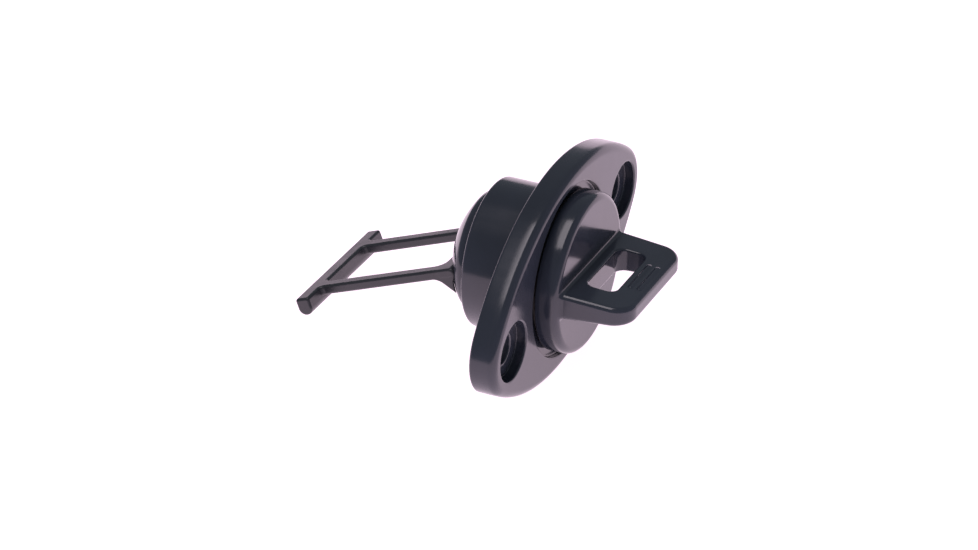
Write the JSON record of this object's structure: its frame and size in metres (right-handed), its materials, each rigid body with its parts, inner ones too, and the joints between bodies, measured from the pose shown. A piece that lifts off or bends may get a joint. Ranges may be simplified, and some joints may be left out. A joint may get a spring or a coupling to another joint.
{
  "type": "captive drain bung and socket",
  "caption": "Captive drain bung for a small boat: an oval screw-down socket with a short spigot, a screwed bung with a windowed handle, and a legged retainer.",
  "frame": {"origin": "on the bung axis in the mounting face of the flange (the face that lies on the hull)", "axes": "+X out of the hull along the bung axis, towards the handle; +Y along the flange's long axis; +Z along its short axis, up when the flange is screwed on with its long axis level"},
  "size_m": [0.059, 0.06, 0.0342],
  "materials": {
    "socket_plastic": "moulded black nylon, high gloss",
    "bung_plastic": "moulded black nylon, high gloss",
    "retainer_plastic": "moulded black plastic, satin gloss",
    "seal_rubber": "black nitrile rubber, satin"
  },
  "bodies": {
    "socket": {"socket": "socket_plastic"},
    "seal": {"seal_ring": "seal_rubber"},
    "bung": {"bung": "bung_plastic"},
    "retainer": {"retainer": "retainer_plastic"}
  },
  "joints": [
    {"name": "bung_slide", "type": "slide", "parent": "socket", "child": "seal", "axis": [1, 0, 0], "range_m": [0, 0.0285]},
    {"name": "bung_turn", "type": "hinge", "parent": "seal", "child": "bung", "pos_m": [0, 0, 0], "axis": [1, 0, 0], "range_deg": [0, 3420]},
    {"name": "retainer_flex", "type": "hinge", "parent": "bung", "child": "retainer", "pos_m": [-0.0129, -0.00013, -0.00065], "axis": [0, 0.9816, -0.1908], "range_deg": [0, 21.2]}
  ],
  "couplings": [
    {"joint": "bung_slide", "follows": "bung_turn", "m_per_rad": 0.00047746},
    {"joint": "retainer_flex", "follows": "bung_turn", "ratio": 0.0061988}
  ]
}
